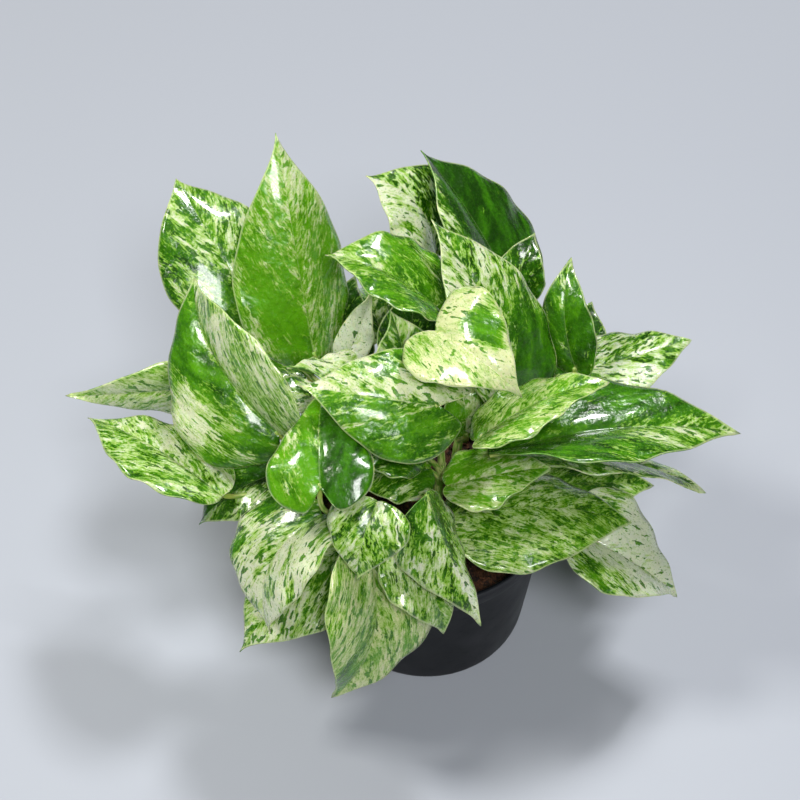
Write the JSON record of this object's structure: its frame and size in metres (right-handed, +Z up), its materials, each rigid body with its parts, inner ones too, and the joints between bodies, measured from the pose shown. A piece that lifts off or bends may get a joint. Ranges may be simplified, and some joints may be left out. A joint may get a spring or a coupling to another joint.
{
  "type": "potted marble queen pothos",
  "caption": "Leafy trailing houseplant with marbled heart-based leaves on bent stalks, in a filled round nursery pot with a stepped rim.",
  "frame": {"origin": "centre of the pot's flat base", "axes": "+Z up along the pot's axis, +X to the right and -Y towards the viewer of the picture"},
  "size_m": [0.3422, 0.2433, 0.2396],
  "materials": {
    "pot_plastic": "black moulded plastic, semi-matt",
    "potting_mix": "damp coir and peat, rough",
    "foliage": "waxy leaf, green marbled with cream"
  },
  "bodies": {
    "root": {"nursery_pot": "pot_plastic", "potting_mix": "potting_mix", "stem_back_left": "foliage", "stem_left": "foliage", "stem_inner_left": "foliage", "stem_back": "foliage", "stem_back_right": "foliage", "stem_right_back": "foliage", "stem_right": "foliage", "stem_right_front": "foliage", "stem_front": "foliage", "stem_front_left": "foliage", "stem_centre": "foliage", "stem_inner_right": "foliage"}
  },
  "joints": []
}
